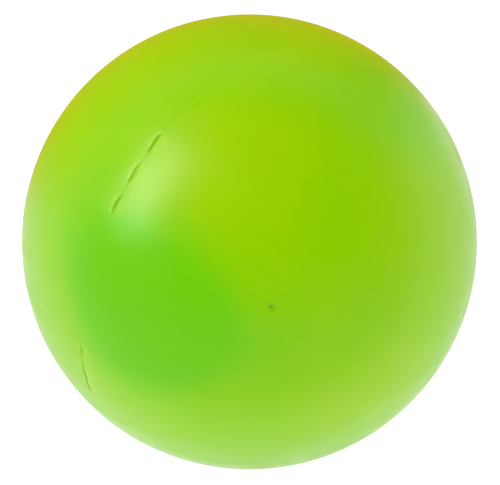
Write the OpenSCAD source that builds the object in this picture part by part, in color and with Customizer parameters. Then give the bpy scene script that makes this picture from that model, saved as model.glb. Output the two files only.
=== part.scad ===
// Part-filled juggling ball: two bonded soft vinyl half shells, a bung in the filling port
// and loose grain inside.
// The ball's centre is the origin. The two halves meet in the plane y = 0, the front half
// faces -Y, and the filling port is at the pole on +Y. The grain lies at the bottom, on -Z.

/* [Ball] */
// Outside diameter of the ball
ball_d = 67; // [55:1:90]
// Thickness of the vinyl shell
wall_t = 2.6; // [2:0.1:4]

/* [Seam joint] */
// How far the front half's lip reaches into the rear half
lip_h = 2.4; // [1.2:0.1:5]
// Gap between the two halves, which the cement fills
bond_gap = 0.16; // [0.1:0.02:0.3]
// Width of the fine groove that the joint leaves round the ball
groove_w = 0.5; // [0.35:0.05:1]
// Depth of that groove at its point
groove_depth = 0.3; // [0.2:0.05:0.6]

/* [Vent] */
// Diameter of the needle vent in the front half
vent_d = 0.6; // [0.4:0.1:1.2]
// Width that the vent's mouth opens out to
vent_mouth_d = 0.9; // [0.5:0.1:2]
// Depth of the vent's opened-out mouth
vent_mouth_depth = 0.35; // [0.1:0.05:0.8]
// Angle from the front pole to the vent
vent_from_pole = 43.3; // [20:0.1:70]
// Angle of the vent round the pole, turned from +X towards +Z
vent_turn = 146.4; // [0:0.1:360]

/* [Filling port] */
// Diameter of the port at its outer end, under the bung's head
port_d = 8; // [6:0.2:11]
// How much narrower the port is at its inner end
port_taper = 0.8; // [0.2:0.1:1.5]
// Width of vinyl round the port in the collar inside the shell
collar_wall = 2.2; // [1.2:0.1:4]
// How far the collar stands in from the inside of the shell
collar_h = 2.5; // [1:0.1:5]

/* [Bung] */
// How far the bung's head reaches past the port all round
head_margin = 2; // [1:0.1:3]
// Thickness of the head at its edge
head_t = 1.2; // [0.8:0.1:1.6]
// Gap all round between the bung and the shell
plug_clear = 0.06; // [0.02:0.01:0.2]
// How far the bung's tip stands in from the collar
tip_out = 1.2; // [0:0.1:4]
// Width of the edge broken off the tip
tip_break = 0.5; // [0.2:0.1:1]
// Diameter of the hollow in the bung, open at the tip
core_d = 3.6; // [1.5:0.1:4.5]
// Thickness of the bung's head over the hollow
core_web = 2.2; // [1.6:0.1:3]
// Radius of the fingernail notch in the head's edge
notch_r = 1.3; // [0.6:0.1:1.8]
// Depth of the fingernail notch
notch_depth = 0.7; // [0.3:0.1:0.7]

/* [Grain fill] */
// Gap between the grain's outside and the inside of the shell
grain_clear = 0.3; // [0.2:0.05:1]
// Least gap between the grain's level top and the port's collar
grain_to_collar = 1.2; // [0.4:0.1:15]

/* [Hidden] */
$fn = 96;

ball_r = ball_d / 2;
cavity_r = ball_r - wall_t;
// the lip takes the inner half of the wall and the skirt round it the outer half
lip_r = cavity_r + (wall_t - bond_gap) / 2;
// the cement comes up to where the groove is as wide as the gap
bond_r = ball_r - groove_depth * (1 - bond_gap / groove_w);
port_r = port_d / 2;
head_r = port_r + head_margin;
collar_r = port_r + collar_wall;
// heights along the pole axis
head_edge_y = sqrt(pow(ball_r, 2) - pow(head_r, 2));
seat_y = head_edge_y - head_t;
collar_y = cavity_r - collar_h;
tip_y = collar_y - tip_out;
core_y = ball_r - core_web;
grain_r = cavity_r - grain_clear;
grain_top = collar_r + grain_to_collar;
// long enough to cut right through or to cover the whole section
past = ball_r + 1;

// Radius of the tapered port at height y, or that of a plug smaller by gap
function port_r_at(y, gap = 0) =
    port_r - gap - port_taper / 2 * (seat_y - y) / (seat_y - collar_y);

// Turns a flat section about the pole axis, so that the section's y becomes +Y
module turned() rotate([-90, 0, 0]) rotate_extrude() children();

// The half of the section plane to the right of the axis, between two heights
module band(y0, y1) translate([0, y0]) square([past, y1 - y0]);

module shell_ring() {
    difference() {
        circle(ball_r);
        circle(cavity_r);
    }
}

// The fine groove round the outside, centred on the seam plane
module seam_groove() {
    slope = groove_w / 2 / groove_depth;
    reach = groove_depth + 1;
    polygon([
        [ball_r - groove_depth, 0],
        [ball_r - groove_depth + reach, -reach * slope],
        [ball_r - groove_depth + reach, reach * slope]
    ]);
}

// Everything on the front half's side of the joint: the shoulder and the lip above it
module front_side() {
    band(-past, -bond_gap / 2);
    translate([0, -bond_gap / 2]) square([lip_r, lip_h + bond_gap / 2]);
}

// The stepped gap between the two halves
module bond_gap_section() {
    translate([lip_r, -bond_gap / 2]) square([bond_r - lip_r, bond_gap]);
    translate([lip_r, -bond_gap / 2]) square([bond_gap, lip_h + bond_gap * 1.5]);
    translate([0, lip_h]) square([lip_r + bond_gap, bond_gap]);
}

// Everything on the rear half's side of the joint
module rear_side() {
    difference() {
        band(bond_gap / 2, past);
        square([lip_r + bond_gap, lip_h + bond_gap]);
    }
}

// The tapered hole through the wall and the collar, with the seat for the bung's head
module port_section() {
    polygon([
        [0, collar_y - 1],
        [port_r_at(collar_y - 1), collar_y - 1],
        [port_r, seat_y],
        [0, seat_y]
    ]);
    translate([0, seat_y]) square([head_r + plug_clear, past - seat_y]);
}

module vent() {
    rotate([90, 0, 0])
        rotate([0, 0, vent_turn])
            rotate([0, vent_from_pole, 0]) {
                translate([0, 0, cavity_r - 1]) cylinder(d = vent_d, h = wall_t + 2);
                translate([0, 0, ball_r - vent_mouth_depth])
                    cylinder(
                        d1 = vent_d,
                        d2 = 2 * vent_mouth_d - vent_d,
                        h = 2 * vent_mouth_depth
                    );
            }
}

module shell_front() {
    color([0.53, 0.79, 0.03])
        difference() {
            turned()
                difference() {
                    intersection() {
                        shell_ring();
                        front_side();
                    }
                    seam_groove();
                }
            vent();
        }
}

module shell_rear() {
    color([0.50, 0.77, 0.04])
        turned()
            difference() {
                intersection() {
                    union() {
                        shell_ring();
                        translate([0, collar_y]) square([collar_r, cavity_r - collar_y]);
                    }
                    rear_side();
                }
                port_section();
                seam_groove();
            }
}

module seam_bond() {
    color([0.30, 0.47, 0.05])
        turned()
            intersection() {
                shell_ring();
                bond_gap_section();
            }
}

module port_plug() {
    color([0.40, 0.66, 0.04])
        difference() {
            turned()
                difference() {
                    intersection() {
                        circle(ball_r);
                        union() {
                            translate([0, seat_y]) square([head_r, past - seat_y]);
                            polygon([
                                [0, tip_y],
                                [port_r_at(tip_y, plug_clear) - tip_break, tip_y],
                                [port_r_at(tip_y + tip_break, plug_clear), tip_y + tip_break],
                                [port_r - plug_clear, seat_y],
                                [0, seat_y]
                            ]);
                        }
                    }
                    translate([0, tip_y - 1]) square([core_d / 2, core_y - tip_y + 1]);
                }
            // a fingernail gets under the head's edge here
            translate([0, head_edge_y - notch_depth, head_r])
                rotate([-90, 0, 0])
                    cylinder(r = notch_r, h = head_t + notch_depth);
        }
}

// The grain, settled level at the bottom of the cavity
module grain_fill() {
    color([0.86, 0.74, 0.45])
        rotate_extrude()
            intersection() {
                circle(grain_r);
                band(-past, -grain_top);
            }
}

shell_front();
shell_rear();
seam_bond();
port_plug();
grain_fill();
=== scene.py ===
import math
import random

import bmesh
import bpy
from mathutils import Matrix, Vector, noise


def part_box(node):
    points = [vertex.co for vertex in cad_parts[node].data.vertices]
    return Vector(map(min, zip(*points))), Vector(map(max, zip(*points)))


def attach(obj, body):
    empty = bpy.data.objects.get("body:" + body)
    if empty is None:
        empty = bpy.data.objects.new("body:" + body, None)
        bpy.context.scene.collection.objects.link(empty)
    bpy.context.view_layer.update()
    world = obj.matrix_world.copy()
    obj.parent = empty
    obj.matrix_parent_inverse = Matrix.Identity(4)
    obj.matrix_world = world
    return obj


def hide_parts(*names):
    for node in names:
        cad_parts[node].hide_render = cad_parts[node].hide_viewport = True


# A juggling ball: two lime vinyl half shells cemented with a lip in a rebate, a bung in the
# filling port at the +Y pole, and loose millet filling the bottom third.
# Everything is in metres. Values whose names end in Mm are in millimetres, Deg in degrees.
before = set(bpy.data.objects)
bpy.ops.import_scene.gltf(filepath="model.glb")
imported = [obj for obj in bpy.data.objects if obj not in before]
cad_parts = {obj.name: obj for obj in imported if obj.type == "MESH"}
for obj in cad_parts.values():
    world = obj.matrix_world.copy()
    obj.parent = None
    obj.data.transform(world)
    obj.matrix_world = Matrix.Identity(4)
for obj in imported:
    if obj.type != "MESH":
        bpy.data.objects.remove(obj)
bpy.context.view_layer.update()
mm = 0.001
hair = 0.01 * mm  # closer than this counts as the same place


def pointsOf(node):
    return [v.co.copy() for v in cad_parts[node].data.vertices]


def outFromPole(point):
    return math.hypot(point.x, point.z)


# sizes that the frame gives
frontPoints = pointsOf("shell_front")
rearPoints = pointsOf("shell_rear")
bungPoints = pointsOf("port_plug")
grainLow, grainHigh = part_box("grain_fill")

ballRadius = -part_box("shell_front")[0].y
cavityRadius = min(p.length for p in frontPoints)
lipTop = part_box("shell_front")[1].y
lipRadius = max(outFromPole(p) for p in frontPoints if p.y > lipTop - hair)
jointGap = 2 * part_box("shell_rear")[0].y
skirtRadius = lipRadius + jointGap  # the inside of the rear half's skirt, round the lip

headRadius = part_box("port_plug")[1].x
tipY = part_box("port_plug")[0].y
seatY = min(p.y for p in bungPoints if outFromPole(p) > headRadius - hair)
headEdgeY = math.sqrt(ballRadius ** 2 - headRadius ** 2)
neckRadius = min(outFromPole(p) for p in bungPoints if abs(p.y - seatY) < hair)
coreRadius = min(outFromPole(p) for p in bungPoints if p.y < tipY + hair)
coreY = max(p.y for p in bungPoints if abs(outFromPole(p) - coreRadius) < hair)
tipRadius = max(outFromPole(p) for p in bungPoints if p.y < tipY + hair)

collarPoints = [p for p in rearPoints if outFromPole(p) < 1.2 * headRadius]
portRadius = min(outFromPole(p) for p in collarPoints if abs(p.y - seatY) < hair)
seatRadius = max(outFromPole(p) for p in collarPoints if abs(p.y - seatY) < hair)
collarY = min(p.y for p in collarPoints)
collarRadius = max(outFromPole(p) for p in collarPoints if p.y < collarY + hair)
portInner = min(outFromPole(p) for p in collarPoints if p.y < collarY + hair)

# the vent's bore has the front half's only points inside the wall and away from the joint
ventWall = [p for p in frontPoints if 1.002 * cavityRadius < p.length < 0.995 * ballRadius]
ventWall = [p for p in ventWall if p.y < -mm]
ventAxis = sum(ventWall, Vector()).normalized()
ventRadius = min((p - ventAxis * p.dot(ventAxis)).length for p in ventWall)
grainRadius = -grainLow.z
grainTop = grainHigh.z
print("frame read: the ball's radius is", round(ballRadius / mm, 2), "mm")


# shapes

def smooth(x, low, high):
    t = min(1.0, max(0.0, (x - low) / (high - low)))
    return t * t * (3 - 2 * t)


def roughen(point, size):
    # even noise from -1 to 1 whose lumps are about size across
    return noise.noise(point / size)


def arcDown(radius, fromDeg, toDeg, count):
    # points on a circle round the ball's centre, angles measured from the +Y pole
    angles = [math.radians(fromDeg + (toDeg - fromDeg) * i / count) for i in range(count + 1)]
    return [(radius * math.sin(a), radius * math.cos(a)) for a in angles]


def roundedCorner(before, corner, after, radius, count=4):
    # a corner of an outline with its point rounded off
    c = Vector(corner)
    toBefore = (Vector(before) - c).normalized()
    toAfter = (Vector(after) - c).normalized()
    start, end = c + toBefore * radius, c + toAfter * radius
    points = []
    for i in range(count + 1):
        t = i / count
        points.append(tuple(start * (1 - t) ** 2 + c * 2 * t * (1 - t) + end * t * t))
    return points


def straight(start, end, shares):
    # points at these shares of the way from start to end
    return [(start[0] + (end[0] - start[0]) * t, start[1] + (end[1] - start[1]) * t) for t in shares]


def joinRings(bm, a, b):
    # faces between two rings whose counts are equal or differ by a power of two
    if len(a) < len(b):
        a, b = b, a
    if len(b) == 1:
        for i in range(len(a)):
            bm.faces.new((a[i], a[(i + 1) % len(a)], b[0]))
        return
    ratio = len(a) // len(b)
    for i in range(len(b)):
        nextB = b[(i + 1) % len(b)]
        run = [a[(i * ratio + j) % len(a)] for j in range(ratio + 1)]
        if ratio == 1:
            bm.faces.new((run[0], run[1], nextB, b[i]))
            continue
        middle = ratio // 2
        for j in range(ratio):
            bm.faces.new((run[j], run[j + 1], b[i] if j < middle else nextB))
        bm.faces.new((run[middle], nextB, b[i]))


def ringEdges(bm, ring):
    return [bm.edges.get((ring[i - 1], ring[i])) for i in range(len(ring))]


def turnOutline(outline, segments, place=None, closed=False):
    # turns an outline of (radius, height) points about the pole axis; a ring has all the segments
    # near the ball's outside, and half as many each time its radius halves
    bm = bmesh.new()
    rings = []
    for radius, height in outline:
        if radius < hair:
            rings.append([bm.verts.new((0, height, 0))])
            continue
        halvings = max(0, int(math.log2(ballRadius * 1.001 / radius)))
        count = max(12, segments >> halvings)
        ring = []
        for i in range(count):
            turn = 2 * math.pi * i / count
            r, y = place(radius, height, turn) if place else (radius, height)
            ring.append(bm.verts.new((r * math.cos(turn), y, r * math.sin(turn))))
        rings.append(ring)
    for a, b in zip(rings, rings[1:]):
        joinRings(bm, a, b)
    if closed:
        joinRings(bm, rings[-1], rings[0])
    return bm


def finishMesh(name, bm, body, node, material, creaseDeg=32):
    bmesh.ops.recalc_face_normals(bm, faces=bm.faces)
    mesh = bpy.data.meshes.new(name)
    bm.to_mesh(mesh)
    bm.free()
    mesh.shade_smooth()
    mesh.set_sharp_from_angle(angle=math.radians(creaseDeg))
    piece = bpy.data.objects.new(name, mesh)
    bpy.context.scene.collection.objects.link(piece)
    piece.data.materials.append(material)
    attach(piece, body)
    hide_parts(node)
    print("made", name, "with", len(mesh.polygons), "faces")
    return piece


# materials

def startMaterial(name, values):
    material = bpy.data.materials.new(name)
    material.use_nodes = True
    tree = material.node_tree
    shader = tree.nodes["Principled BSDF"]
    for socket, value in values.items():
        shader.inputs[socket].default_value = value
    place = tree.nodes.new("ShaderNodeTexCoord").outputs["Object"]
    return material, tree, shader, place


def noiseOf(tree, place, sizeMm, detail=2.0, rough=0.5, stretch=None):
    if stretch:
        mapping = tree.nodes.new("ShaderNodeMapping")
        mapping.inputs["Scale"].default_value = stretch
        tree.links.new(place, mapping.inputs["Vector"])
        place = mapping.outputs["Vector"]
    node = tree.nodes.new("ShaderNodeTexNoise")
    node.inputs["Scale"].default_value = 1 / (sizeMm * mm)
    node.inputs["Detail"].default_value = detail
    node.inputs["Roughness"].default_value = rough
    tree.links.new(place, node.inputs["Vector"])
    return node.outputs["Fac"]


def remap(tree, value, fromLow, fromHigh, toLow=0.0, toHigh=1.0):
    node = tree.nodes.new("ShaderNodeMapRange")
    node.interpolation_type = "SMOOTHSTEP"
    node.inputs["From Min"].default_value = fromLow
    node.inputs["From Max"].default_value = fromHigh
    node.inputs["To Min"].default_value = toLow
    node.inputs["To Max"].default_value = toHigh
    tree.links.new(value, node.inputs["Value"])
    return node.outputs["Result"]


def combine(tree, kind, a, b, limit=False):
    node = tree.nodes.new("ShaderNodeMath")
    node.operation = kind
    node.use_clamp = limit
    for socket, value in zip(node.inputs, (a, b)):
        if isinstance(value, (int, float)):
            socket.default_value = value
        else:
            tree.links.new(value, socket)
    return node.outputs["Value"]


def mixColours(tree, factor, a, b):
    node = tree.nodes.new("ShaderNodeMix")
    node.data_type = "RGBA"
    tree.links.new(factor, node.inputs[0])
    for socket, value in ((node.inputs[6], a), (node.inputs[7], b)):
        if isinstance(value, tuple):
            socket.default_value = (*value, 1)
        else:
            tree.links.new(value, socket)
    return node.outputs[2]


def paintedValue(tree, name):
    # what the mesh's own points carry under this name
    node = tree.nodes.new("ShaderNodeAttribute")
    node.attribute_name = name
    return node.outputs["Fac"]


def nearTo(tree, place, spot, fullMm, noneMm):
    # 1 within fullMm of a spot, falling smoothly to 0 at noneMm
    node = tree.nodes.new("ShaderNodeVectorMath")
    node.operation = "DISTANCE"
    node.inputs[1].default_value = spot
    tree.links.new(place, node.inputs[0])
    return remap(tree, node.outputs["Value"], fullMm * mm, noneMm * mm, 1.0, 0.0)


def varyRoughness(tree, place, shader, sizeMm, detail, less, more):
    # lets the shader's own roughness drift over the surface, this much below it and above it
    own = shader.inputs["Roughness"].default_value
    rough = remap(tree, noiseOf(tree, place, sizeMm, detail), 0.3, 0.7, own - less, own + more)
    tree.links.new(rough, shader.inputs["Roughness"])


def addGrain(tree, place, shader, layers):
    # fine bumps, each layer as (size in mm, detail, strength, depth in mm)
    normal = None
    for sizeMm, detail, strength, depthMm in layers:
        node = tree.nodes.new("ShaderNodeBump")
        node.inputs["Strength"].default_value = strength
        node.inputs["Distance"].default_value = depthMm * mm
        tree.links.new(noiseOf(tree, place, sizeMm, detail), node.inputs["Height"])
        if normal:
            tree.links.new(normal, node.inputs["Normal"])
        normal = node.outputs["Normal"]
    tree.links.new(normal, shader.inputs["Normal"])


# lime vinyl
vinyl = {
    "greenest": (0.150, 0.590, 0.0),
    "yellowest": (0.330, 0.620, 0.0),
    "yellowestRear": (0.320, 0.615, 0.0),
    "cloudMm": 26,  # broad drift between the two, and how yellow it makes the vinyl
    "cloudYellow": (0.60, 0.84),
    "mottleMm": 3.5,
    "mottleYellow": (-0.05, 0.05),
    "paintedShadeAndLight": (  # painted shade as greener spots and painted light as yellower spots; direction, full and fading radius in mm, amount: greener above 0, yellower below
        ((-0.913, -0.294, 0.281), 6, 18, 0.85),
        ((-0.869, 0.031, 0.494), 3, 15, 0.30),
        ((0.467, -0.390, 0.793), 3, 16, 0.45),
        ((-0.690, -0.717, 0.090), 3, 15, 0.22),
        ((-0.646, -0.671, 0.363), 3, 12, 0.20),
        ((-0.361, -0.374, 0.854), 4, 15, -0.30),
        ((-0.106, -0.982, -0.156), 4, 14, -0.25),
    ),
    # pale colour of the painted highlight beside the seam
    "paintedSeamHighlightColour": (0.450, 0.740, 0.080),
    # dark colour of grime and painted shade in the seam's groove and the vent's pit
    "grimeAndShade": (0.150, 0.330, 0.006),
    "grimeAndShadeFleckMm": 0.5,
    "grimeAndShadeThinnest": 0.55,
    "grimeAndShadeRoughness": 0.8,
    "roughness": 0.32,
    "specular": 0.36,
    "scuffMm": 5,
    "scuffStretch": (1, 0.35, 1.2),
    "scuffDulls": (-0.03, 0.09),
    "grain": ((1.1, 2, 0.10, 0.05), (0.22, 1, 0.06, 0.02)),
}


def vinylMaterial(name, yellowest):
    material, tree, shader, place = startMaterial(name, {
        "Roughness": vinyl["roughness"],
        "Specular IOR Level": vinyl["specular"],
    })
    clouds = remap(tree, noiseOf(tree, place, vinyl["cloudMm"], 1.5), 0.30, 0.70, *vinyl["cloudYellow"])
    mottle = remap(tree, noiseOf(tree, place, vinyl["mottleMm"], 3), 0.25, 0.75, *vinyl["mottleYellow"])
    yellow = combine(tree, "ADD", clouds, mottle)
    # painted shade makes the spots with amounts above 0 greener, painted light makes those below 0
    # yellower
    for direction, fullMm, noneMm, amount in vinyl["paintedShadeAndLight"]:
        spot = Vector(direction).normalized() * ballRadius
        paintedLightAndShadeSpot = combine(tree, "MULTIPLY", nearTo(tree, place, spot, fullMm, noneMm), amount)
        yellow = combine(tree, "SUBTRACT", yellow, paintedLightAndShadeSpot, limit=True)
    colour = mixColours(tree, yellow, vinyl["greenest"], yellowest)
    # a painted highlight, paler, along the seam's edge
    colour = mixColours(tree, paintedValue(tree, "paintedSeamHighlight"), colour, vinyl["paintedSeamHighlightColour"])
    flecks = noiseOf(tree, place, vinyl["grimeAndShadeFleckMm"], 2)
    flecks = remap(tree, flecks, 0.30, 0.62, vinyl["grimeAndShadeThinnest"], 1.0)
    # grime and painted shade from the mesh, broken up by flecks
    dirtAndShade = combine(tree, "MULTIPLY", paintedValue(tree, "grimeAndShade"), flecks)
    colour = mixColours(tree, dirtAndShade, colour, vinyl["grimeAndShade"])
    tree.links.new(colour, shader.inputs["Base Color"])

    scuffs = noiseOf(tree, place, vinyl["scuffMm"], 4, 0.6, vinyl["scuffStretch"])
    scuffs = remap(tree, scuffs, 0.35, 0.75, *vinyl["scuffDulls"])
    dulled = combine(tree, "ADD", scuffs, vinyl["roughness"])
    dirtAndShadeDulls = combine(tree, "MULTIPLY", dirtAndShade, vinyl["grimeAndShadeRoughness"])
    tree.links.new(combine(tree, "MAXIMUM", dulled, dirtAndShadeDulls), shader.inputs["Roughness"])
    addGrain(tree, place, shader, vinyl["grain"])
    return material


frontVinyl = vinylMaterial("limeVinylFront", vinyl["yellowest"])
rearVinyl = vinylMaterial("limeVinylRear", vinyl["yellowestRear"])
print("vinyl mixed")


# the seam, shared by both half shells and the cement; turn is the angle round the pole axis,
# away the distance from the seam plane, and side -1 on the front half and 1 on the rear
seam = {
    "openArcsDeg": ((131.5, 12.3), (187.4, 9.4), (246, 12), (301, 20), (354, 13)),  # middle, half width
    "arcFadeDeg": 2.0,
    "faintOpen": 0.004,  # how far it stands open between those arcs
    "dashMm": 2.1,
    "dashShiftMm": 194.54,  # which dashes the joint shows
    "dashFromTo": (-0.16, 0.22),
    "dashFaint": 0.06,
    "closedShare": 0.15,  # how much of the joint's gap is left where the seam is shut
    "grooveHalfMm": 0.26,
    "grooveDepthMm": 0.14,
    "shoulderDepthMm": 0.05,
    "shoulderReachMm": 0.60,
    "raggedMm": 1.0,
    "raggedShare": 0.8,
    "wanderMm": 0.24,
    "wanderSizeMm": 1.4,
    "wanderFadeMm": (0.2, 3),
    "closesWithinMm": 1,
    "reachMm": 6,  # no point of the shells further from the seam is moved
    # grime and painted shade in the groove
    "grimeAndShade": 0.31,
    "grimeAndShadeFade": (0.4, 1.3),  # in groove halves
    # painted highlight beside the groove, wider on the front half
    "paintedSeamHighlight": 0.28,
    "seamHighlightStart": (0.8, 2.0),  # in groove halves
    "seamHighlightMm": (1.3, 0.7),  # how far the painted highlight beside the seam reaches on the front and the rear half
    "seamHighlightFade": (0.3, 2.0),  # in reaches
    "paintMm": 4,
}
outsideFrom = 0.985 * ballRadius  # points further out than this lie on the ball's outside


def seamOpen(turn):
    # how far the seam stands open, 0 to 1
    deg = math.degrees(turn) % 360
    widest = 0.0
    for middle, half in seam["openArcsDeg"]:
        off = abs((deg - middle + 180) % 360 - 180)
        widest = max(widest, 1 - smooth(off, half - seam["arcFadeDeg"], half + seam["arcFadeDeg"]))
    spot = Vector((math.cos(turn), 0, math.sin(turn))) * ballRadius
    spot.y = seam["dashShiftMm"] * mm
    dash = smooth(roughen(spot, seam["dashMm"] * mm), *seam["dashFromTo"])
    dash = seam["dashFaint"] + (1 - seam["dashFaint"]) * dash
    return seam["faintOpen"] + (1 - seam["faintOpen"]) * widest * dash


def grooveHalf(turn, side):
    # half the groove's width, ragged along its edge and not alike on the two sides
    spot = Vector((math.cos(turn), 0.4 * side, math.sin(turn))) * ballRadius
    return seam["grooveHalfMm"] * mm * (1 + seam["raggedShare"] * roughen(spot, seam["raggedMm"] * mm))


def seamWander(radius, turn):
    # the seam's line strays a little sideways, more towards the outside
    share = min(1.0, max(0.0, (radius - skirtRadius) / (0.99 * ballRadius - skirtRadius)))
    spot = Vector((math.cos(turn), 2, math.sin(turn))) * ballRadius
    return seam["wanderMm"] * mm * share * roughen(spot, seam["wanderSizeMm"] * mm)


def seamRelief(away, turn, side):
    # depth of the groove and its softened shoulder
    half = grooveHalf(turn, side)
    vee = max(0.0, 1 - away / half) * seam["grooveDepthMm"]
    past = max(0.0, away - half) / (seam["shoulderReachMm"] * mm)
    return (vee + math.exp(-past) * seam["shoulderDepthMm"]) * seamOpen(turn) * mm


def edgeFromSeam(turn):
    # the two halves close up where the seam is faint
    return jointGap / 2 * (seam["closedShare"] + (1 - seam["closedShare"]) * seamOpen(turn))


def placeOnShell(radius, height, turn):
    # sinks the outside near the seam and moves the edge in to meet the cement
    away = abs(height)
    if radius < skirtRadius + hair or away > seam["reachMm"] * mm:
        return radius, height
    side = -1 if height < 0 else 1
    edge = edgeFromSeam(turn)
    closeUp = (jointGap / 2 - edge) * max(0, 1 - away / (seam["closesWithinMm"] * mm))
    away = max(edge, away - closeUp)
    height = side * away
    if math.hypot(radius, height) > outsideFrom:
        radius = math.sqrt((ballRadius - seamRelief(away, turn, side)) ** 2 - height ** 2)
    near, far = (reach * mm for reach in seam["wanderFadeMm"])
    return radius, height + seamWander(radius, turn) * (1 - smooth(away, near, far))


def paintSeam(piece, side):
    # grime and painted shade gather in the groove, a painted highlight lies beside it, and painted shade
    # lies in the vent's pit
    grimeAndShade = piece.data.attributes.new("grimeAndShade", "FLOAT", "POINT")
    paintedSeamHighlight = piece.data.attributes.new("paintedSeamHighlight", "FLOAT", "POINT")
    pitShadeFrom, pitShadeTo = (reach * mm for reach in vent["paintedPitShadeMm"])
    reach = seam["seamHighlightMm"][0 if side < 0 else 1] * mm
    for i, vertex in enumerate(piece.data.vertices):
        co = vertex.co
        if co.length < 0.95 * ballRadius:
            continue
        fromVent = (co - ventAxis * ballRadius).length
        # painted shade in the vent's pit
        if fromVent < pitShadeTo:
            grimeAndShade.data[i].value = vent["paintedPitShade"] * (1 - smooth(fromVent, pitShadeFrom, pitShadeTo))
            continue
        turn = math.atan2(co.z, co.x)
        away = abs(co.y - seamWander(outFromPole(co), turn))
        if away > seam["paintMm"] * mm:
            continue
        halves = away / grooveHalf(turn, side)
        # grime and painted shade in the groove
        grimeAndShade.data[i].value = seam["grimeAndShade"] * seamOpen(turn) * (1 - smooth(halves, *seam["grimeAndShadeFade"]))
        # painted highlight along the groove's edge
        beside = smooth(halves, *seam["seamHighlightStart"]) * (1 - smooth(away / reach, *seam["seamHighlightFade"]))
        paintedSeamHighlight.data[i].value = seam["paintedSeamHighlight"] * seamOpen(turn) * beside


# both half shells
shell = {
    "segments": 768,
    "firstRingMm": 0.05,  # rings on the outside stand this close at the seam, and wider away from it
    "ringGrowth": 1.18,
    "lastRingMm": 1,
    "innerSteps": 44,
    "innerStartDeg": (0.8, 1.5),  # from the lip's corner, and from the collar's root
    "innerEndMm": 0.3,  # how far short of the rebate the rear half's inside stops
    "lipRoundMm": 0.25,
    "rebateRoundMm": 0.12,
}


def outsideArc(upTo):
    # the outside's rings, from the seam to a distance along the surface
    along, step = jointGap / 2, shell["firstRingMm"] * mm
    rings = []
    while along < upTo - 0.6 * step:
        rings.append(along)
        along += step
        step = min(step * shell["ringGrowth"], shell["lastRingMm"] * mm)
    rings.append(upTo)
    return [(ballRadius * math.cos(s / ballRadius), ballRadius * math.sin(s / ballRadius)) for s in rings]


def jointFloor(side):
    # the flat shoulder between the outside and the lip or skirt, outside first
    y = side * jointGap / 2
    inner = skirtRadius if side > 0 else lipRadius
    return straight((inner, y), (ballRadius, y), (0.5, 0.25, 0))


# front half shell with its lip and the needle vent
vent = {
    "segments": 40,
    "clearMm": 1.45,
    "mouthMm": (  # radius and depth, from the outside in
        (1.10, 0.0), (0.90, 0.008), (0.72, 0.025), (0.58, 0.05),
        (0.46, 0.08), (0.34, 0.105), (0.20, 0.13), (0.11, 0.17),
    ),
    "pinchMm": 0.05,
    "pinchFromTo": (0.15, 0.62),  # in shares of the wall, like opensAt
    "opensAt": 0.85,
    "innerEdgeMm": 0.06,
    "innerFlareShares": (1.05, 1.3),
    "innerRingMm": 0.9,
    # painted shade in the vent's pit
    "paintedPitShade": 0.38,
    "paintedPitShadeMm": (0.28, 0.90),
}


def onSurface(point, radius):
    return abs(point.length - radius) < 0.2 * mm


def clearForVent(bm, radius):
    # takes away the faces round the vent on one surface and returns the hole's edges
    gone = []
    for face in bm.faces:
        middle = face.calc_center_median()
        along = middle.dot(ventAxis)
        aside = (middle - ventAxis * along).length
        if along > 0 and onSurface(middle, radius) and aside < vent["clearMm"] * mm:
            gone.append(face)
    bmesh.ops.delete(bm, geom=gone, context="FACES")
    return [e for e in bm.edges if e.is_boundary and onSurface(e.verts[0].co, radius)]


def ventRings():
    # radius of each ring of the bore, and its distance from the ball's centre
    wall = ballRadius - cavityRadius
    rings = [(out * mm, ballRadius - deep * mm) for out, deep in vent["mouthMm"]]
    rings += [(vent["pinchMm"] * mm, ballRadius - share * wall) for share in vent["pinchFromTo"]]
    edge, flare = (ventRadius * share for share in vent["innerFlareShares"])
    return rings + [
        (ventRadius, ballRadius - vent["opensAt"] * wall),
        (edge, cavityRadius + vent["innerEdgeMm"] * mm),
        (flare, cavityRadius),
        (vent["innerRingMm"] * mm, cavityRadius),
    ]


def openVent(bm):
    side = ventAxis.cross(Vector((0, 0, 1))).normalized()
    up = side.cross(ventAxis)
    outer = clearForVent(bm, ballRadius)
    inner = clearForVent(bm, cavityRadius)
    made = []
    for out, far in ventRings():
        ring = []
        for i in range(vent["segments"]):
            a = 2 * math.pi * i / vent["segments"]
            aside = (side * math.cos(a) + up * math.sin(a)) * out
            ring.append(bm.verts.new(aside + ventAxis * math.sqrt(far * far - out * out)))
        made.append(ring)
    for a, b in zip(made, made[1:]):
        joinRings(bm, a, b)
    bmesh.ops.bridge_loops(bm, edges=outer + ringEdges(bm, made[0]))
    bmesh.ops.bridge_loops(bm, edges=inner + ringEdges(bm, made[-1]))


def makeFrontShell():
    outside = [(r, -y) for r, y in reversed(outsideArc(ballRadius * math.pi / 2))]
    outside[0] = (0.0, -ballRadius)
    lipRound = shell["lipRoundMm"] * mm
    lipInside = math.sqrt(cavityRadius ** 2 - lipTop ** 2)
    lip = jointFloor(-1)
    lip += roundedCorner(lip[-1], (lipRadius, lipTop), (cavityRadius, lipTop), lipRound)
    lip += roundedCorner((lipRadius, lipTop), (lipInside, lipTop), (cavityRadius, 0), lipRound)
    start = math.degrees(math.acos(lipTop / cavityRadius)) + shell["innerStartDeg"][0]
    inside = arcDown(cavityRadius, start, 180, shell["innerSteps"])
    inside[-1] = (0.0, -cavityRadius)
    bm = turnOutline(outside + lip + inside, shell["segments"], placeOnShell)
    openVent(bm)
    piece = finishMesh("frontShell", bm, "ball", "shell_front", frontVinyl)
    paintSeam(piece, -1)


# rear half shell with its rebate, collar and port
port = {
    "rimRoundMm": 0.22,
    "seatRoundMm": 0.10,
    "collarRoundMm": 0.45,
    "collarBoreRoundMm": 0.27,
}


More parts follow.
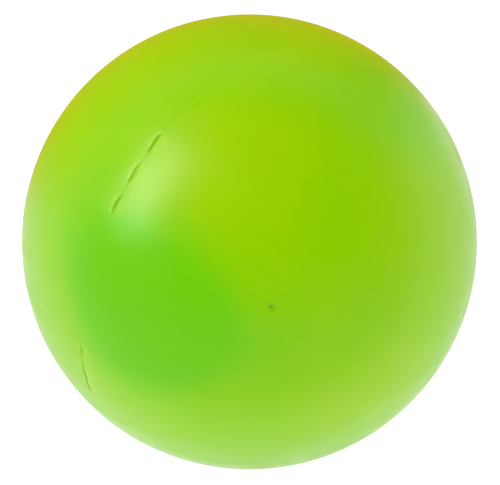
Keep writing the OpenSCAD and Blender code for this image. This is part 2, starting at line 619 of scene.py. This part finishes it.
def portOutline(start):
    # from the ball's outside over the seat, down the port and round the collar
    rimY = math.sqrt(ballRadius ** 2 - seatRadius ** 2)
    outline = roundedCorner(start, (seatRadius, rimY), (seatRadius, seatY), port["rimRoundMm"] * mm, 5)
    outline = outline[1:]  # its first point is the start again
    outline += [(seatRadius, (rimY + seatY) / 2), (seatRadius, seatY)]
    outline += [((seatRadius + portRadius) / 2, seatY)]
    outline += roundedCorner(
        outline[-1], (portRadius, seatY), (portInner, collarY), port["seatRoundMm"] * mm
    )
    outline += straight((portRadius, seatY), (portInner, collarY), (0.3, 0.6))
    outline += roundedCorner(
        outline[-1], (portInner, collarY), (collarRadius, collarY), port["collarBoreRoundMm"] * mm
    )
    outline += roundedCorner(
        (portInner, collarY), (collarRadius, collarY), (collarRadius, seatY), port["collarRoundMm"] * mm
    )
    return outline


def makeRearShell():
    rimAlong = ballRadius * math.asin(math.sqrt(ballRadius ** 2 - seatRadius ** 2) / ballRadius)
    outside = outsideArc(rimAlong - port["rimRoundMm"] * mm)
    rootY = math.sqrt(cavityRadius ** 2 - collarRadius ** 2)
    start = math.degrees(math.asin(collarRadius / cavityRadius)) + shell["innerStartDeg"][1]
    arc = arcDown(cavityRadius, start, 90, shell["innerSteps"])
    root = roundedCorner(
        (collarRadius, collarY), (collarRadius, rootY), arc[0], port["collarRoundMm"] * mm
    )
    rebateY = lipTop + jointGap
    inside = [p for p in arc if p[1] > rebateY + shell["innerEndMm"] * mm]
    rebateInside = math.sqrt(cavityRadius ** 2 - rebateY ** 2)
    rebate = [(rebateInside, rebateY), ((rebateInside + skirtRadius) / 2, rebateY)]
    rebate += roundedCorner(
        rebate[-1], (skirtRadius, rebateY), (skirtRadius, 0), shell["rebateRoundMm"] * mm
    )
    skirt = [(skirtRadius, rebateY / 2)] + list(reversed(jointFloor(1)))
    outline = outside + portOutline(outside[-1]) + root + inside + rebate + skirt
    bm = turnOutline(outline, shell["segments"], placeOnShell, closed=True)
    piece = finishMesh("rearShell", bm, "ball", "shell_rear", rearVinyl)
    paintSeam(piece, 1)


makeFrontShell()
makeRearShell()


# the cement that shows in the seam
cement = {
    "colour": (0.190, 0.400, 0.006),
    "faintColour": (0.285, 0.612, 0.0),
    "fleckMm": 0.6,
    "thinnest": 0.75,
    "roughness": 0.40,
    "drift": (1.5, 2, 0.08, 0.10),
    "specular": 0.3,
    "grain": ((0.4, 3, 0.25, 0.06),),
    "sunkMm": 0.003,
    "flatShare": 0.5,  # its outer edge lies at least this share of the groove's depth down
    "clearMm": 0.02,
}


def cementMaterial():
    material, tree, shader, place = startMaterial("seamCement", {
        "Roughness": cement["roughness"],
        "Specular IOR Level": cement["specular"],
    })
    flecks = remap(tree, noiseOf(tree, place, cement["fleckMm"], 3), 0.3, 0.7, cement["thinnest"], 1.0)
    # the cement is darker where the seam stands open, a dark joint with painted shade of the open groove;
    # where the seam is shut it takes the vinyl's lime
    share = combine(tree, "MULTIPLY", paintedValue(tree, "grimeAndShade"), flecks)
    colour = mixColours(tree, share, cement["faintColour"], cement["colour"])
    tree.links.new(colour, shader.inputs["Base Color"])
    varyRoughness(tree, place, shader, *cement["drift"])
    addGrain(tree, place, shader, cement["grain"])
    return material


def placeOnCement(radius, height, turn):
    # the outer edge follows the seam's relief and the sides the shells' edges
    if radius < skirtRadius + hair:
        return radius, height
    edge = edgeFromSeam(turn)
    flat = cement["flatShare"] * seam["grooveDepthMm"] * seamOpen(turn) * mm
    deep = max(flat, seamRelief(edge, turn, 1), seamRelief(edge, turn, -1)) + cement["sunkMm"] * mm
    return ballRadius - deep, max(-edge, min(edge, height)) + seamWander(ballRadius - deep, turn)


def makeCement():
    # fills the stepped gap between the two halves
    half = jointGap / 2
    inner = cavityRadius + cement["clearMm"] * mm
    outline = [
        (skirtRadius, half), (ballRadius, half), (ballRadius, 0), (ballRadius, -half), (lipRadius, -half),
        (lipRadius, lipTop), (inner, lipTop), (inner, lipTop + jointGap), (skirtRadius, lipTop + jointGap),
    ]
    bm = turnOutline(outline, shell["segments"], placeOnCement, closed=True)
    piece = finishMesh("seamCement", bm, "ball", "seam_bond", cementMaterial())
    grimeAndShade = piece.data.attributes.new("grimeAndShade", "FLOAT", "POINT")
    # darker cement where the seam is open: dark joint and painted shade
    for i, vertex in enumerate(piece.data.vertices):
        grimeAndShade.data[i].value = seamOpen(math.atan2(vertex.co.z, vertex.co.x))


makeCement()


# the bung
bung = {
    "colour": (0.170, 0.520, 0.0010),
    "worn": (0.260, 0.600, 0.0020),
    "wornMm": 6,
    "roughness": 0.34,
    "drift": (2.2, 3, 0.04, 0.10),
    "specular": 0.42,
    "grain": ((0.9, 2, 0.12, 0.04), (0.2, 1, 0.06, 0.02)),
    "segments": 1536,
    "ringMm": 0.2,
    "gateMm": (1.1, 0.16),  # radius and depth of the moulding gate's dimple
    "rimRoundMm": 0.25,
    "underRoundMm": 0.12,
    "neckRoundMm": 0.15,
    "tipBreakMm": 0.5,
    "breakRoundMm": 0.25,
    "tipRoundMm": 0.35,
    "coreRoundMm": 0.5,
    "notchRadiusMm": 1.3,
    "notchDepthMm": 0.7,
    "notchSoftMm": 0.22,
}


def bungMaterial():
    material, tree, shader, place = startMaterial("bungVinyl", {
        "Roughness": bung["roughness"],
        "Specular IOR Level": bung["specular"],
    })
    worn = remap(tree, noiseOf(tree, place, bung["wornMm"], 3), 0.35, 0.75)
    colour = mixColours(tree, worn, bung["colour"], bung["worn"])
    tree.links.new(colour, shader.inputs["Base Color"])
    varyRoughness(tree, place, shader, *bung["drift"])
    addGrain(tree, place, shader, bung["grain"])
    return material


def placeOnBung(radius, height, turn):
    # the fingernail notch in the head's edge, on +Z
    if height < seatY + 2 * hair:
        return radius, height
    fromNotch = math.hypot(radius * math.cos(turn), radius * math.sin(turn) - headRadius)
    notchRadius = bung["notchRadiusMm"] * mm
    inside = 1 - smooth(fromNotch, notchRadius - bung["notchSoftMm"] * mm, notchRadius)
    cut = bung["notchDepthMm"] * mm / (headEdgeY - seatY)
    return radius, seatY + (height - seatY) * (1 - cut * inside)


def headTop():
    # the head's top follows the ball, with the gate's dimple at its middle
    gateRadius, gateDepth = (value * mm for value in bung["gateMm"])
    points = []
    r = 0.0
    while r < headRadius - bung["rimRoundMm"] * mm:
        deep = gateDepth * (1 - smooth(r, 0.35 * gateRadius, gateRadius))
        points.append((r, math.sqrt(ballRadius ** 2 - r * r) - deep))
        r = len(points) * bung["ringMm"] * mm
    return points


def makeBung():
    breakY = tipY + bung["tipBreakMm"] * mm
    breakRadius = max(outFromPole(p) for p in bungPoints if abs(p.y - breakY) < 0.05 * mm)
    outline = headTop()
    outline += roundedCorner(
        outline[-1], (headRadius, headEdgeY), (headRadius, seatY), bung["rimRoundMm"] * mm, 5
    )
    outline += straight((headRadius, seatY), (headRadius, headEdgeY), (0.6, 0.4, 0.2))
    outline += roundedCorner(
        outline[-1], (headRadius, seatY), (neckRadius, seatY), bung["underRoundMm"] * mm, 3
    )
    outline += [((headRadius + neckRadius) / 2, seatY), (neckRadius + bung["neckRoundMm"] * mm, seatY)]
    outline += straight((neckRadius, seatY), (breakRadius, breakY), (0.03, 0.2, 0.4, 0.6, 0.8))
    outline += roundedCorner(
        outline[-1], (breakRadius, breakY), (tipRadius, tipY), bung["breakRoundMm"] * mm, 3
    )
    outline += [(tipRadius, tipY)]
    outline += roundedCorner(
        (tipRadius, tipY), (coreRadius, tipY), (coreRadius, coreY), bung["tipRoundMm"] * mm
    )
    outline += straight((coreRadius, tipY), (coreRadius, coreY), (0.25, 0.5, 0.75))
    coreRound = bung["coreRoundMm"] * mm
    outline += roundedCorner(outline[-1], (coreRadius, coreY), (0, coreY), coreRound)
    outline += [(coreRound, coreY), (0.0, coreY)]
    bm = turnOutline(outline, bung["segments"], placeOnBung)
    finishMesh("portBung", bm, "bung", "port_plug", bungMaterial())


makeBung()


# the millet
millet = {
    "seedMm": (1.70, 2.15),
    "oblate": (0.82, 1.0),
    "spacing": 0.90,
    "tries": 30000,
    "unevenMm": 0.7,
    "unevenSizeMm": 11,
    "pale": (0.640, 0.430, 0.150),
    "deep": (0.430, 0.235, 0.060),
    "speckleMm": 0.5,
    "speckle": 0.15,
    "roughness": 0.5,
    "drift": (1.2, 2, 0.12, 0.10),
    "specular": 0.35,
    "grain": ((0.3, 2, 0.15, 0.05),),
    "creaseDeg": 60,
    "seed": 7,
}
seedRadius = millet["seedMm"][1] * mm / 2  # of the biggest
seedsWithin = grainRadius - seedRadius
seedsTop = grainTop - seedRadius


def milletMaterial():
    material, tree, shader, place = startMaterial("milletSeeds", {
        "Roughness": millet["roughness"],
        "Specular IOR Level": millet["specular"],
    })
    speckle = noiseOf(tree, place, millet["speckleMm"], 2)
    speckle = remap(tree, speckle, 0.3, 0.7, -millet["speckle"], millet["speckle"])
    share = combine(tree, "ADD", paintedValue(tree, "seedShade"), speckle, limit=True)
    colour = mixColours(tree, share, millet["deep"], millet["pale"])
    tree.links.new(colour, shader.inputs["Base Color"])
    varyRoughness(tree, place, shader, *millet["drift"])
    addGrain(tree, place, shader, millet["grain"])
    return material


def scatter(pick, gap, rand):
    # keeps random points that lie at least gap from those already kept
    cells, kept = {}, []
    for _ in range(millet["tries"]):
        point = pick(rand)
        key = tuple(int(c // gap) for c in point)
        near = (
            other
            for i in (-1, 0, 1) for j in (-1, 0, 1) for k in (-1, 0, 1)
            for other in cells.get((key[0] + i, key[1] + j, key[2] + k), ())
        )
        if all((point - other).length > gap for other in near):
            cells.setdefault(key, []).append(point)
            kept.append(point)
    return kept


def bedHeight(x, y):
    # the settled top, a little uneven, measured from the grain's level top
    return -abs(roughen(Vector((x, y, 0)), millet["unevenSizeMm"] * mm)) * millet["unevenMm"] * mm


def onTop(rand):
    angle = rand.uniform(0, 2 * math.pi)
    out = math.sqrt(seedsWithin ** 2 - seedsTop ** 2) * math.sqrt(rand.random())
    x, y = out * math.cos(angle), out * math.sin(angle)
    return Vector((x, y, seedsTop + bedHeight(x, y)))


def onSide(rand):
    z = rand.uniform(-seedsWithin, seedsTop - 0.8 * seedRadius)
    angle = rand.uniform(0, 2 * math.pi)
    out = math.sqrt(max(0.0, seedsWithin ** 2 - z * z))
    return Vector((out * math.cos(angle), out * math.sin(angle), z))


def seedRings(around=8, down=5):
    # one seed of radius 1 as rings from pole to pole
    rows = []
    for j in range(down + 1):
        tilt = math.pi * j / down
        if j in (0, down):
            rows.append([Vector((0, 0, math.cos(tilt)))])
            continue
        turns = [2 * math.pi * i / around for i in range(around)]
        across = math.sin(tilt)
        rows.append([Vector((across * math.cos(t), across * math.sin(t), math.cos(tilt))) for t in turns])
    return rows


def addSeed(bm, rows, place, shadeLayer, rand):
    size = rand.uniform(*millet["seedMm"]) * mm / 2
    flat = rand.uniform(*millet["oblate"])
    turn = Vector([rand.gauss(0, 1) for _ in range(3)]).to_track_quat("Z", "Y")
    shade = rand.random()
    rings = []
    for row in rows:
        ring = [bm.verts.new(place + turn @ Vector((p.x, p.y, p.z * flat)) * size) for p in row]
        for v in ring:
            v[shadeLayer] = shade
        rings.append(ring)
    for a, b in zip(rings, rings[1:]):
        joinRings(bm, a, b)


def addLump(bm):
    # the grain under the outer seeds, as one lump with a settled top
    lumpRadius = grainRadius - 1.5 * seedRadius
    lumpTop = seedsTop - 0.5 * seedRadius
    flatRadius = math.sqrt(lumpRadius ** 2 - lumpTop ** 2)
    for v in bmesh.ops.create_icosphere(bm, subdivisions=5, radius=lumpRadius)["verts"]:
        if v.co.z > lumpTop:
            share = v.co.angle(Vector((0, 0, 1)), 0) / math.acos(lumpTop / lumpRadius)
            spread = flatRadius * share / max(math.hypot(v.co.x, v.co.y), 1e-9)
            v.co.x *= spread
            v.co.y *= spread
            v.co.z = lumpTop + bedHeight(v.co.x, v.co.y)


def makeMillet():
    rand = random.Random(millet["seed"])
    gap = 2 * seedRadius * millet["spacing"]
    places = scatter(onTop, gap, rand) + scatter(onSide, gap, rand)
    bm = bmesh.new()
    shadeLayer = bm.verts.layers.float.new("seedShade")
    rows = seedRings()
    for place in places:
        addSeed(bm, rows, place, shadeLayer, rand)
    addLump(bm)
    finishMesh("milletFill", bm, "grain", "grain_fill", milletMaterial(), millet["creaseDeg"])
    print("millet poured:", len(places), "seeds")


makeMillet()


# floor and surroundings
studio = {
    "floorRadius": 3.0,
    "floorColour": (0.23, 0.23, 0.23),
    "floorGlow": 0.955,  # a lit table, so the shadow stays pale
    "floorRoughness": 0.9,
    "floorSpecular": 0.1,
    "roomLight": 1.07,
    "white": (1.0, 1.0, 1.0),
    "warmColour": (0.90, 0.27, 0.03),
    "warmToward": (0.24, 0.60, 0.76),
    "warmFromTo": (0.28, 0.62),
    "warmBehind": (-0.45, 0.05),  # and only this far round to the ball's far side
    "darkToward": (-0.545, -0.566, 0.618),  # the side of the room with no white in it
    "darkFromTo": (-0.35, 0.22),
}


def makeFloor():
    bm = bmesh.new()
    bmesh.ops.create_circle(bm, cap_ends=True, segments=96, radius=studio["floorRadius"])
    bmesh.ops.translate(bm, vec=(0, 0, -ballRadius), verts=bm.verts)
    mesh = bpy.data.meshes.new("floor")
    bm.to_mesh(mesh)
    bm.free()
    floor = bpy.data.objects.new("floor", mesh)
    bpy.context.scene.collection.objects.link(floor)
    mesh.materials.append(startMaterial("paleFloor", {
        "Base Color": (*studio["floorColour"], 1),
        "Roughness": studio["floorRoughness"],
        "Specular IOR Level": studio["floorSpecular"],
        "Emission Color": (*studio["white"], 1),
        "Emission Strength": studio["floorGlow"],
    })[0])
    floor.visible_glossy = False


def makeRoom():
    # white on the ball's far side, warm above it to the left, and dark on the near side, so the
    # middle of the ball reflects nothing and keeps its full colour; the backdrop itself is white
    world = bpy.data.worlds.new("room")
    bpy.context.scene.world = world
    world.use_nodes = True
    tree = world.node_tree
    background = tree.nodes["Background"]
    direction = tree.nodes.new("ShaderNodeTexCoord").outputs["Generated"]

    def towards(axis):
        node = tree.nodes.new("ShaderNodeVectorMath")
        node.operation = "DOT_PRODUCT"
        node.inputs[1].default_value = Vector(axis).normalized()
        tree.links.new(direction, node.inputs[0])
        return node.outputs["Value"]

    near = towards(studio["darkToward"])
    level = remap(tree, near, *studio["darkFromTo"], studio["roomLight"], 0.0)
    # how far round from the warm side, whatever the distance from the room's dark pole; 1.0001
    # keeps the root above 0 at the pole itself
    asideSquared = combine(tree, "SUBTRACT", 1.0001, combine(tree, "MULTIPLY", near, near))
    around = combine(tree, "DIVIDE", towards(studio["warmToward"]), combine(tree, "SQRT", asideSquared, 0))
    behind = remap(tree, near, *studio["warmBehind"], 1.0, 0.0)
    warmShare = combine(tree, "MULTIPLY", remap(tree, around, *studio["warmFromTo"]), behind)
    colour = mixColours(tree, warmShare, studio["white"], studio["warmColour"])
    toCamera = tree.nodes.new("ShaderNodeLightPath").outputs["Is Camera Ray"]
    colour = mixColours(tree, toCamera, colour, studio["white"])
    tree.links.new(colour, background.inputs["Color"])
    seen = tree.nodes.new("ShaderNodeMix")
    tree.links.new(toCamera, seen.inputs[0])
    tree.links.new(level, seen.inputs[2])
    seen.inputs[3].default_value = 1.0
    tree.links.new(seen.outputs[0], background.inputs["Strength"])


# a light that only shines in the vinyl, and fills that only light it up
keyLight = {
    "toward": (-0.65, 0.41, 0.64),
    "distance": 0.8,
    "width": 0.27,
    "height": 0.58,
    "longWay": (0.72, 0.06, 0.69),
    "power": 3.7,
    "colour": (1.0, 0.82, 0.95),
}
fills = {
    "distance": 1.2,
    "width": 1.0,
    "lights": {  # direction from the ball, long way, power
        "frontFill": ((-0.545, -0.566, 0.618), (0, 0, 1), 4.6),
        "rightFill": ((0.351, -0.883, 0.309), (0, 0, 1), 5.6),
        "leftFill": ((-0.896, 0.318, 0.309), (0, 0, 1), 7.4),
        "topFill": ((0.099, 0.103, 0.990), (0, 1, 0), 6.0),
        "backFill": ((0.084, 0.697, 0.712), (1, 0, 0), 5.2),
    },
}


def placeLight(name, toward, distance, longWay, width, height, power):
    data = bpy.data.lights.new(name, "AREA")
    data.shape = "RECTANGLE"
    data.size = width
    data.size_y = height
    data.energy = power
    light = bpy.data.objects.new(name, data)
    bpy.context.scene.collection.objects.link(light)
    direction = Vector(toward).normalized()
    across = Vector(longWay).cross(direction).normalized()
    axes = Matrix((across, direction.cross(across), direction)).transposed()
    light.location = direction * distance
    light.rotation_mode = "QUATERNION"
    light.rotation_quaternion = axes.to_quaternion()
    light.visible_camera = False
    return light


def makeKeyLight():
    light = placeLight(
        "keyShine", keyLight["toward"], keyLight["distance"], keyLight["longWay"],
        keyLight["width"], keyLight["height"], keyLight["power"],
    )
    light.data.color = keyLight["colour"]
    light.visible_diffuse = False


def makeFills():
    for name, (toward, longWay, power) in fills["lights"].items():
        light = placeLight(name, toward, fills["distance"], longWay, fills["width"], fills["width"], power)
        light.data.cycles.use_multiple_importance_sampling = False  # or it would still show in the gloss
        light.visible_glossy = False


view = {
    "azimuthDeg": -43.9,
    "elevationDeg": 38.2,
    "distance": 0.6,
    "lens": 293.0,
    "aimMm": (0.08, -0.10),  # how far the aim is right of and above the ball's centre
}


def makeCamera():
    a, e = math.radians(view["azimuthDeg"]), math.radians(view["elevationDeg"])
    back = Vector((math.sin(a) * math.cos(e), -math.cos(a) * math.cos(e), math.sin(e)))
    right = Vector((math.cos(a), math.sin(a), 0))
    up = back.cross(right)
    camera = bpy.data.objects.new("camera", bpy.data.cameras.new("camera"))
    camera.data.lens = view["lens"]
    camera.data.clip_start = 0.01
    aim = (right * view["aimMm"][0] + up * view["aimMm"][1]) * mm
    camera.location = back * view["distance"] + aim
    camera.rotation_mode = "QUATERNION"
    camera.rotation_quaternion = (-back).to_track_quat("-Z", "Y")
    bpy.context.scene.collection.objects.link(camera)
    bpy.context.scene.camera = camera


makeFloor()
makeRoom()
makeKeyLight()
makeFills()
makeCamera()
bpy.context.scene.view_settings.view_transform = "Standard"
print("studio set")
